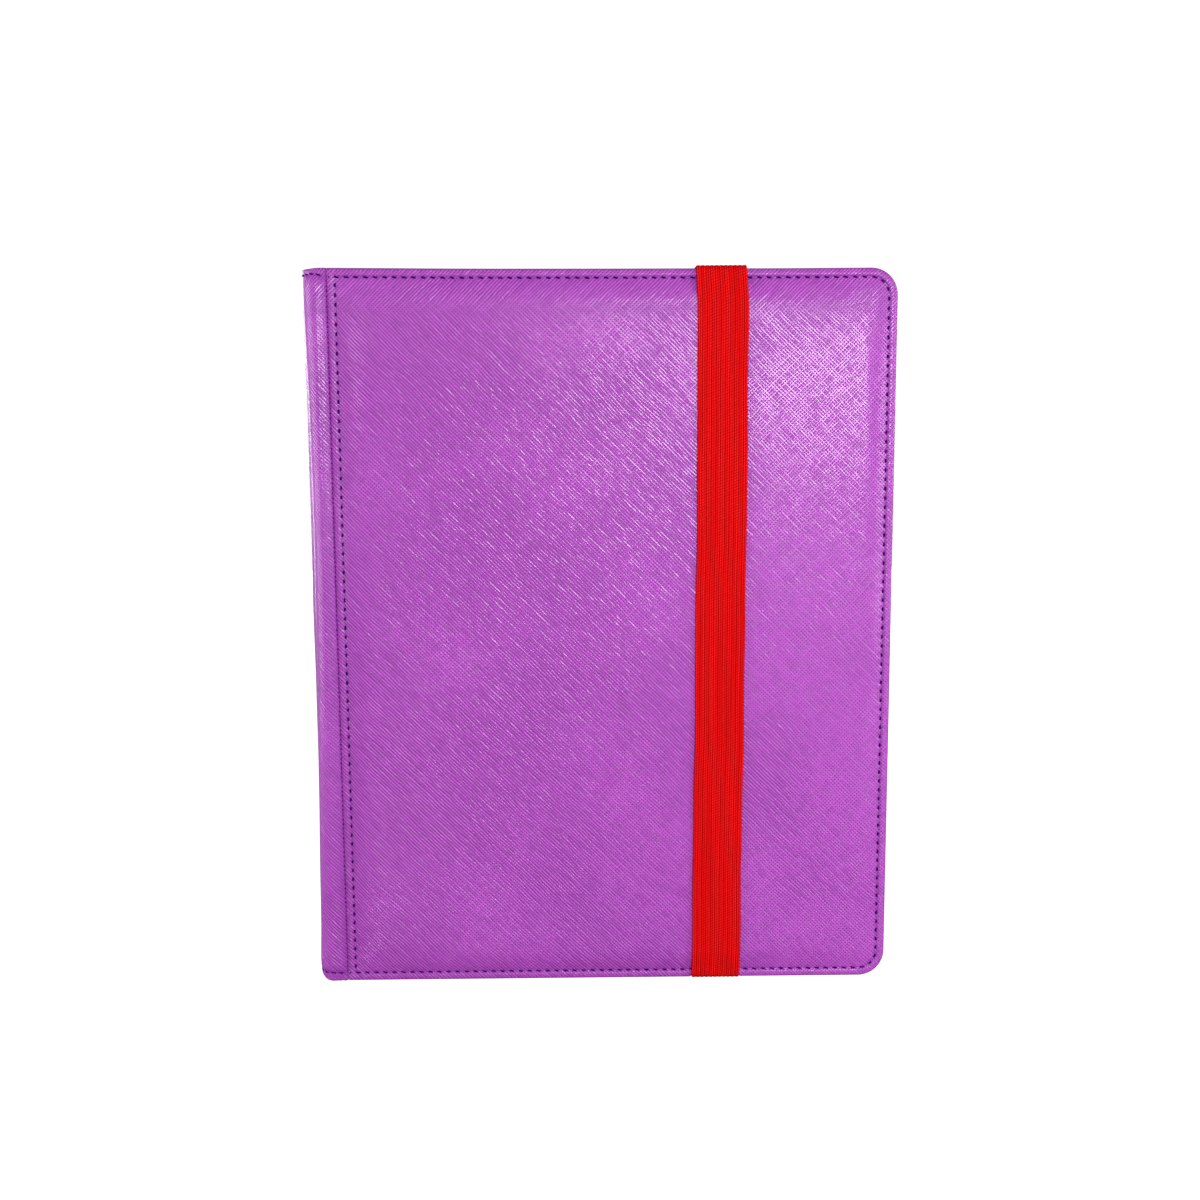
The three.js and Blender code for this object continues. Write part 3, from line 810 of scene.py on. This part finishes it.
class Graph:
    """A short way to write a material's nodes. Inputs may be numbers, colours or other nodes' outputs."""

    def __init__(self, name):
        self.material = bpy.data.materials.new(name)
        self.material.use_nodes = True
        self.nodes = self.material.node_tree.nodes
        self.links = self.material.node_tree.links
        self.bsdf = self.nodes["Principled BSDF"]

    def set(self, socket, value):
        if isinstance(value, bpy.types.NodeSocket):
            self.links.new(value, socket)
        else:
            socket.default_value = (*value, 1) if isinstance(value, tuple) else value

    def add(self, kind, inputs=None, output=0, **settings):
        node = self.nodes.new(kind)
        for key, value in settings.items():
            setattr(node, key, value)
        for key, value in (inputs or {}).items():
            self.set(node.inputs[key], value)
        return node.outputs[output]

    def attribute(self, name, output="Vector"):
        return self.add("ShaderNodeAttribute", attribute_name=name, output=output)

    def math(self, operation, *values):
        return self.add("ShaderNodeMath", dict(enumerate(values)), operation=operation)

    def times(self, first, second):
        return self.math("MULTIPLY", first, second)

    def plus(self, first, second):
        return self.math("ADD", first, second)

    def position(self):
        return self.add("ShaderNodeTexCoord", output="Object")

    def split(self, vector):
        self.add("ShaderNodeSeparateXYZ", {0: vector})
        return [self.nodes[-1].outputs[k] for k in range(3)]

    def join(self, x=0.0, y=0.0, z=0.0):
        return self.add("ShaderNodeCombineXYZ", {0: x, 1: y, 2: z})

    def noise(self, vector, scale, detail=2.0, roughness=0.5):
        return self.add("ShaderNodeTexNoise",
                        {"Vector": vector, "Scale": scale, "Detail": detail, "Roughness": roughness})

    def remap(self, value, low, high, to_low=0.0, to_high=1.0, kind="SMOOTHSTEP"):
        return self.add("ShaderNodeMapRange", {0: value, 1: low, 2: high, 3: to_low, 4: to_high},
                        interpolation_type=kind)

    def mix(self, factor, first, second):
        node = self.nodes.new("ShaderNodeMix")
        node.data_type = "RGBA"
        self.set(node.inputs[0], factor)
        self.set(node.inputs[6], first)
        self.set(node.inputs[7], second)
        return node.outputs[2]

    def bump(self, height, distance, strength=1.0):
        return self.add("ShaderNodeBump", {"Height": height, "Distance": distance, "Strength": strength})

    def principled(self, **values):
        for key, value in values.items():
            self.set(self.bsdf.inputs[key.replace("_", " ").title().replace("Ior", "IOR")], value)
        return self.material


def leather_material():
    """Cross-hatch grained leatherette: two sets of fine straight ridges at right angles, lacquered."""
    g = Graph("purple_leatherette")
    place = g.attribute("grain_place")
    x, z, _ = g.split(place)
    falling = g.times(g.plus(x, z), 0.7071)
    rising = g.times(g.math("SUBTRACT", x, z), 0.7071)
    wander = g.noise(place, 0.03, 1.0)

    def ridges(across, along, seed):
        cells = g.join(g.times(across, 0.55), g.times(along, 0.10), seed)
        dash = g.noise(cells, 1.0, 2.0)
        shift = g.plus(g.times(wander, 2.0), g.times(dash, 0.9))
        phase = g.times(g.plus(across, shift), 2 * math.pi / GRAIN_PITCH)
        wave = g.remap(g.math("SINE", phase), -0.75, 0.7)
        return g.times(wave, g.remap(dash, 0.35, 0.55, 0.6, 1.0))

    # The second set of ridges is made stronger near the top edge and towards the fore edge, where the light
    # picks it out. Through the colour below, this is partly painted light.
    slope = g.remap(z, HEIGHT - 26, HEIGHT - 10, 0.0, 1.0)
    first = g.times(ridges(falling, rising, 3.0), g.math("MULTIPLY_ADD", slope, -0.6, 1.0))
    second = ridges(rising, falling, 11.0)
    region = g.noise(place, 0.016, 1.0)
    share = g.remap(g.math("MULTIPLY_ADD", x, 0.0014, region), 0.35, 0.72, 0.2, 0.95)
    share = g.math("MAXIMUM", share, slope)
    height = g.math("MAXIMUM", first, g.times(second, share))
    fine = g.noise(place, 2.6, 3.0)
    height = g.math("MULTIPLY_ADD", fine, 0.08, height)
    painted_shade = g.attribute("painted_shade", "Fac")
    # Colour follows the grain's height: partly its own tone, partly painted shade in the grooves and painted
    # light on the ridges.
    tone = g.remap(height, 0.05, 0.95, 0.0, 1.0, "LINEAR")
    colour = g.mix(tone, GRAIN_GROOVE_AND_SHADE, GRAIN_RIDGE_AND_LIGHT)
    cloudy = g.noise(place, 0.035, 3.0)
    colour = g.mix(g.remap(cloudy, 0.3, 0.7, 0.0, 0.05), colour, (0.30, 0.05, 0.40))
    # Painted shade: darker along the stitch lines, the roll's seams and the groove by its folded edge.
    colour = g.mix(g.times(painted_shade, 0.35), colour, (0.20, 0.025, 0.30))
    normal = g.bump(height, 0.00016, 1.0)
    rough = g.remap(height, 0.0, 1.0, 0.5, 0.2, "LINEAR")
    lacquer = g.remap(height, 0.6, 0.95, 0.0, 0.42)
    return g.principled(base_color=colour, roughness=rough, normal=normal, specular_ior_level=0.4,
                        coat_weight=lacquer, coat_roughness=0.18, coat_normal=normal)


def thread_material():
    """Twisted sewing thread."""
    g = Graph("purple_thread")
    place = g.attribute("thread_place")
    x, y, _ = g.split(place)
    ply = g.math("SINE", g.times(g.plus(x, g.times(y, 1.2)), 9.0))
    tint = g.attribute("tint", "Fac")
    colour = g.mix(tint, (0.058, 0.000, 0.130), (0.098, 0.000, 0.195))
    colour = g.mix(g.remap(ply, -1.0, 1.0, 0.0, 0.35), colour, (0.036, 0.000, 0.085))
    return g.principled(base_color=colour, roughness=0.6, normal=g.bump(ply, 0.00006, 0.7),
                        specular_ior_level=0.02)


def elastic_material():
    """Knitted elastic: each rib is two close yarn lines with a small loop every so often."""
    g = Graph("red_elastic")
    place = g.attribute("band_place")
    x, along, _ = g.split(place)
    rib = 2 * STRAP_HALF / STRAP_RIBS
    across = g.plus(x, STRAP_HALF)
    share = g.math("FRACT", g.math("DIVIDE", across, rib))
    yarn = g.math("ABSOLUTE", g.math("SINE", g.times(share, 2 * math.pi)))
    valley = g.times(g.times(share, g.math("SUBTRACT", 1.0, share)), 4.0)
    jog = g.times(g.math("FLOOR", g.math("DIVIDE", across, rib / 2)), 1.7)
    loop = g.math("SINE", g.math("MULTIPLY_ADD", along, 2 * math.pi / 1.25, jog))
    knit = g.times(g.math("MULTIPLY_ADD", loop, 0.5, 0.5), yarn)
    fuzz = g.noise(g.join(g.times(x, 2.2), g.times(along, 0.7), 0.0), 1.0, 3.0)
    streak = g.noise(g.join(g.times(x, 1.3), g.times(along, 0.012), 5.0), 1.0, 2.0)
    height = g.plus(g.times(yarn, 0.6), g.plus(g.times(knit, 0.4), g.times(fuzz, 0.3)))
    # Painted light and shade: the yarn crests are coloured lighter and whiter as a painted highlight, with
    # random streaks, and the lines between the ribs darker as painted shade.
    light = g.times(g.remap(height, 0.6, 1.05, 0.0, 1.0), g.remap(streak, 0.4, 0.6, 0.5, 1.0))
    colour = g.mix(light, (0.58, 0.0002, 0.0006), (1.0, 0.017, 0.018))
    colour = g.mix(g.remap(valley, 0.0, 0.35, 0.9, 0.0), colour, (0.26, 0.0001, 0.0005))
    return g.principled(base_color=colour, roughness=0.7, normal=g.bump(height, 0.00018, 0.9),
                        specular_ior_level=0.03)


def woven_material(name, dark, light, pitch, rough):
    """Plain weave cloth from two crossing sets of threads."""
    g = Graph(name)
    position = g.position()
    x, y, z = g.split(g.add("ShaderNodeVectorMath", {0: position, 3: MM}, operation="SCALE"))
    warp = g.math("SINE", g.times(g.plus(x, g.times(y, 0.6)), math.pi / pitch))
    weft = g.math("SINE", g.times(z, math.pi / pitch))
    cross = g.times(warp, weft)
    height = g.math("MAXIMUM", g.times(g.math("ABSOLUTE", warp), g.remap(cross, -0.2, 0.2)),
                    g.times(g.math("ABSOLUTE", weft), g.remap(cross, 0.2, -0.2)))
    fuzz = g.noise(position, 900.0, 2.0)
    height = g.math("MULTIPLY_ADD", fuzz, 0.25, height)
    colour = g.mix(g.remap(height, 0.1, 1.1), dark, light)
    return g.principled(base_color=colour, roughness=rough, normal=g.bump(height, 0.00012, 0.8),
                        sheen_weight=0.15)


def foam_material():
    """Pale closed-cell foam."""
    g = Graph("padding_foam")
    position = g.position()
    cells = g.add("ShaderNodeTexVoronoi", {"Vector": position, "Scale": 1400.0}, feature="F1")
    cloudy = g.noise(position, 60.0, 3.0)
    colour = g.mix(g.remap(cells, 0.1, 0.7), (0.62, 0.58, 0.50), (0.82, 0.79, 0.72))
    colour = g.mix(g.remap(cloudy, 0.3, 0.7, 0.0, 0.3), colour, (0.70, 0.64, 0.52))
    return g.principled(base_color=colour, roughness=0.92, normal=g.bump(cells, 0.0002, 0.6))


def board_material():
    """Solid grey board with flecks of fibre."""
    g = Graph("grey_board")
    position = g.position()
    fibre = g.noise(position, 700.0, 4.0, 0.7)
    fleck = g.noise(position, 180.0, 2.0)
    colour = g.mix(g.remap(fibre, 0.3, 0.7), (0.24, 0.22, 0.185), (0.40, 0.37, 0.31))
    colour = g.mix(g.remap(fleck, 0.6, 0.75, 0.0, 0.5), colour, (0.13, 0.12, 0.10))
    return g.principled(base_color=colour, roughness=0.88, normal=g.bump(fibre, 0.00008, 0.5))


def film_material():
    """Clear pocket film over a black core: glossy, faintly rippled, and stippled where it is welded."""
    g = Graph("pocket_film")
    position = g.position()
    pocket = g.attribute("pocket", "Fac")
    weld = g.remap(pocket, 0.05, 0.3, 1.0, 0.0)
    grid = g.add("ShaderNodeTexVoronoi", {"Vector": position, "Scale": 1500.0}, feature="F1")
    ripple = g.noise(position, 45.0, 2.0)
    core = g.noise(position, 1200.0, 2.0)
    colour = g.mix(g.remap(core, 0.35, 0.7), (0.014, 0.014, 0.017), (0.032, 0.032, 0.037))
    colour = g.mix(g.times(weld, 0.8), colour, (0.055, 0.055, 0.062))
    height = g.plus(ripple, g.times(g.times(grid, weld), 0.3))
    rough = g.remap(weld, 0.0, 1.0, 0.24, 0.5)
    # Real film is a mirror seen edge on. Here its gloss fades out, so that the open leaves stay dark.
    gloss = g.remap(g.add("ShaderNodeLayerWeight", {"Blend": 0.5}, output=1), 0.72, 0.95, 1.0, 0.0)
    return g.principled(base_color=colour, roughness=rough, normal=g.bump(height, 0.0005, 0.5),
                        specular_ior_level=g.times(gloss, 0.3),
                        coat_weight=g.times(gloss, 0.15), coat_roughness=0.12)


# ---- camera, light and floor

CAMERA_PLACE = (-0.0078, -0.6730, 0.2732)
CAMERA_TURN = (-0.633, 81.824, -0.353)
CAMERA_LENS = 44.46
WORLD_LIGHT = 0.46
WORLD_POLE = 0.10
# name, azimuth, height, distance, width, height of the panel, power
SOFTBOXES = (
    ("key", 16, 0.37, 1.30, 0.66, 0.36, 10.6),
    ("side_right", 62, 0.28, 1.15, 0.50, 0.60, 4.8),
    ("side_left", -82, 0.26, 1.15, 0.90, 0.70, 9.5),
    ("front_left", -27, 0.40, 1.50, 0.45, 0.40, 2.4),
    ("rear_right", 158, 0.25, 1.60, 0.8, 0.6, 7.0),
    ("rear_left", -156, 0.25, 1.60, 0.8, 0.6, 6.0),
)
STAGE_STEPS = 64
FLOOR_RADIUS = 9000.0
FLOOR_GLOW = 0.95
DOME_RADIUS = 8500.0
DOME_SUNK = 20.0
DOME_GLOW = 1.05
DOME_LEVELS = (0.0, 0.15, 0.35, 0.6, 0.85, 1.1, 1.35)
WHITE = (1, 1, 1)


def add_camera():
    data = bpy.data.cameras.new("camera")
    data.lens, data.sensor_width = CAMERA_LENS, 36
    camera = new_object("camera", data)
    yaw, pitch, roll = (math.radians(a) for a in CAMERA_TURN)
    camera.matrix_world = (Matrix.Translation(CAMERA_PLACE) @ Matrix.Rotation(yaw, 4, "Z")
                           @ Matrix.Rotation(pitch, 4, "X") @ Matrix.Rotation(roll, 4, "Z"))
    bpy.context.scene.camera = camera


def add_softbox(name, azimuth, height, distance, width, tall, power):
    """A soft area light that faces the binder. Azimuth 0 is in front of it and 90 on its right."""
    data = bpy.data.lights.new(name, "AREA")
    data.shape, data.size, data.size_y = "RECTANGLE", width, tall
    data.energy = power
    light = new_object(name, data)
    angle = math.radians(azimuth)
    target = np.array([0.0, 0.0, HEIGHT / 2 / MM])
    place = np.array([math.sin(angle) * distance, -math.cos(angle) * distance, height])
    light.location = place
    light.rotation_mode = "QUATERNION"
    light.rotation_quaternion = Vector(target - place).to_track_quat("-Z", "Y")


def add_world():
    """Even light from all sides, less of it from straight above and below."""
    world = bpy.data.worlds.new("studio")
    bpy.context.scene.world = world
    world.use_nodes = True
    nodes, links = world.node_tree.nodes, world.node_tree.links
    sky = nodes["Background"]
    sky.inputs["Strength"].default_value = WORLD_LIGHT
    direction, parts, steep, fade = (nodes.new(f"ShaderNode{kind}")
                                     for kind in ("TexCoord", "SeparateXYZ", "Math", "MapRange"))
    steep.operation = "ABSOLUTE"
    for number, value in enumerate((0.0, 0.6, 1.0, WORLD_POLE), 1):
        fade.inputs[number].default_value = value
    links.new(direction.outputs["Generated"], parts.inputs[0])
    links.new(parts.outputs[2], steep.inputs[0])
    links.new(steep.outputs[0], fade.inputs[0])
    links.new(fade.outputs[0], sky.inputs["Color"])


def stage_ring(radius, height=0.0):
    turns = 2 * np.pi * np.arange(STAGE_STEPS) / STAGE_STEPS
    return columns_of(radius * np.cos(turns), radius * np.sin(turns), np.full(STAGE_STEPS, height))


def add_floor():
    """A pale disc that neither lights the binder nor shows in its gloss."""
    g = Graph("pale_floor")
    mottled = g.remap(g.noise(g.position(), 6.0, 2.0), 0.3, 0.7, 0.0, 0.04)
    colour = g.mix(mottled, (0.62, 0.62, 0.62), (0.56, 0.56, 0.57))
    look = g.principled(base_color=colour, roughness=0.9, emission_color=WHITE,
                        emission_strength=FLOOR_GLOW, specular_ior_level=0.1)
    floor = new_object("floor", new_mesh("floor", stage_ring(FLOOR_RADIUS), [range(STAGE_STEPS)], [look]))
    floor.location = (0, 0, cad_low[2])
    floor.visible_diffuse = floor.visible_glossy = False
    return floor


def add_backdrop():
    """A white dome that only the camera sees."""
    look = Graph("white_backdrop").principled(base_color=(0.0, 0.0, 0.0), emission_color=WHITE,
                                              emission_strength=DOME_GLOW, specular_ior_level=0.0)
    rings = [stage_ring(DOME_RADIUS * math.cos(level), DOME_RADIUS * math.sin(level) - DOME_SUNK)
             for level in DOME_LEVELS]
    rows = [np.arange(STAGE_STEPS) + k * STAGE_STEPS for k in range(len(rings))]
    top = STAGE_STEPS * len(rings)
    faces = [face for first, second in zip(rows, rows[1:]) for face in band(first, second)]
    faces += [(first, after, top) for first, after in zip(rows[-1], np.roll(rows[-1], -1))]
    points = np.concatenate([*rings, [[0, 0, DOME_RADIUS - DOME_SUNK]]])
    dome = new_object("backdrop", new_mesh("backdrop", points, faces, [look]))
    for ray in ("diffuse", "glossy", "transmission", "shadow", "volume_scatter"):
        setattr(dome, f"visible_{ray}", False)
    return dome


# ---- putting it together

add_camera()
add_world()
for softbox in SOFTBOXES:
    add_softbox(*softbox)
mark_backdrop(add_floor(), add_backdrop())
bpy.context.scene.view_settings.view_transform = "Standard"

LEATHER_LOOK = leather_material()
THREAD_LOOK = thread_material()
ELASTIC_LOOK = elastic_material()
LINING_LOOK = woven_material("black_woven_lining", (0.006, 0.006, 0.008), (0.030, 0.030, 0.034),
                             0.55, 0.8)
TAPE_LOOK = woven_material("black_binding_tape", (0.008, 0.008, 0.010), (0.036, 0.036, 0.040),
                           0.8, 0.7)
FOAM_LOOK = foam_material()
BOARD_LOOK = board_material()
FILM_LOOK = film_material()

for cover, side in (("front", FRONT), ("back", BACK)):
    body = f"{cover}_cover"
    leather = cover_leather(cover, side, LEATHER_LOOK, LINING_LOOK)
    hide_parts(f"{cover}_skin")
    padding = cover_padding(cover, side, FOAM_LOOK)
    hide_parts(f"{cover}_foam")
    lining = cover_lining(cover, side, LINING_LOOK)
    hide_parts(f"{cover}_lining")
    board = soften(f"{cover}_board", f"{cover}_cover_board", BOARD_LOOK, 0.3)
    for piece in (leather, padding, lining, board):
        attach(piece, body)
    for piece in cover_stitches(cover, side, THREAD_LOOK):
        seam = "edge" if "_edge_" in piece.name else "hinge"
        if not piece.name.endswith("_inside"):
            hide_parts(f"{cover}_{seam}_stitching")
        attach(piece, body)

    roll = spine_leather(f"spine_leather_{cover}", side, LEATHER_LOOK, LINING_LOOK)
    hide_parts(f"{cover}_hinge")
    if cover == "back":
        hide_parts("spine_skin")
    across = spine_stitches(f"spine_stitches_{cover}", side, THREAD_LOOK)
    for piece in (roll, across):
        if side == FRONT:
            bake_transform(piece)
        else:
            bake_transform(piece)
    groove = folded_seam_thread(f"{cover}_folded_seam_thread", side, THREAD_LOOK)
    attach(groove, body)

for node, name, look, slot, radius in (("spine_foam", "spine_padding", FOAM_LOOK, "foam", 0.4),
                                       ("spine_board", "spine_stiffener", BOARD_LOOK, "board", 0.3),
                                       ("spine_lining", "spine_inner_lining", LINING_LOOK, "lining", 0.2),
                                       ("page_binding", "page_binding_tape", TAPE_LOOK, "lining", 0.25)):
    piece = soften(node, name, look, radius)
    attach(piece, "spine")

for cover, side in (("front", FRONT), ("back", BACK)):
    low, high = box_mm(f"binding_stitching_{cover}")
    middle = (low + high) / 2
    places = [(low[0], middle[1], z) for z in np.arange(low[2] + 2, high[2] - 1, STITCH_PITCH)]
    piece = stitch_mesh(f"binding_stitches_{cover}", places, [0, 0, 1], [1, 0, 0], THREAD_LOOK)
    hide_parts(f"binding_stitching_{cover}")
    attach(piece, "spine")

for number in range(1, LEAVES + 1):
    node = f"leaf_{number:02d}"
    low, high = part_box(node)
    leaf = pocket_leaf(node, number, FILM_LOOK, LINING_LOOK)
    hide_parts(node)
    middle = (low[1] + high[1]) / 2
    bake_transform(leaf)

strap = strap_piece("elastic_band", ELASTIC_LOOK)
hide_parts("elastic_strap", "strap_tail_top", "strap_tail_bottom")
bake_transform(strap)

low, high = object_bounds()
